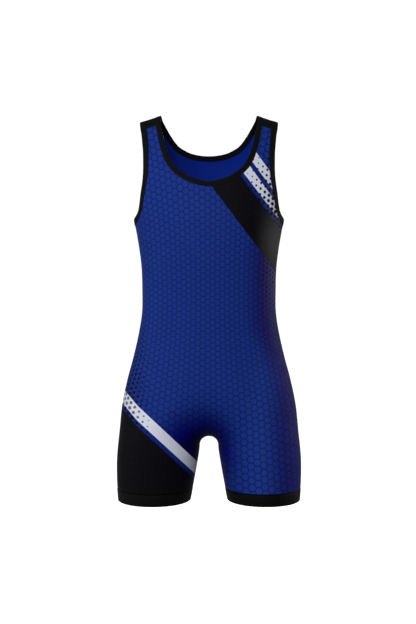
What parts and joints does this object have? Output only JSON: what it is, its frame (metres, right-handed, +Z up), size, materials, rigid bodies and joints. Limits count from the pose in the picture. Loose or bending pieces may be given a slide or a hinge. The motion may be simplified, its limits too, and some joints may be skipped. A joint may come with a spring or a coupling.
{
  "type": "wrestling singlet",
  "caption": "Sleeveless one-piece wrestling singlet, filled out and hollow, with a scooped neck, strap shoulders, bound edges and banded short legs.",
  "frame": {"origin": "midway between the two straps, level with their undersides at the shoulder ridge, where the wearer's shoulders hold the garment up", "axes": "+Z up the body, +X to the wearer's left, and the front of the garment faces -Y"},
  "size_m": [0.3732, 0.2239, 0.7785],
  "materials": {
    "printed_knit": "smooth stretch knit with a printed royal blue honeycomb, black and white diagonals",
    "black_knit": "smooth black stretch knit",
    "black_binding": "black folded knit binding, stitched down",
    "black_band": "black elastic knit band"
  },
  "bodies": {
    "root": {"front_panel": "printed_knit", "back_panel": "printed_knit", "shoulder_piece_left": "black_knit", "shoulder_piece_right": "black_knit", "neck_binding": "black_binding", "armhole_binding_left": "black_binding", "armhole_binding_right": "black_binding", "leg_band_left": "black_band", "leg_band_right": "black_band"}
  },
  "joints": []
}
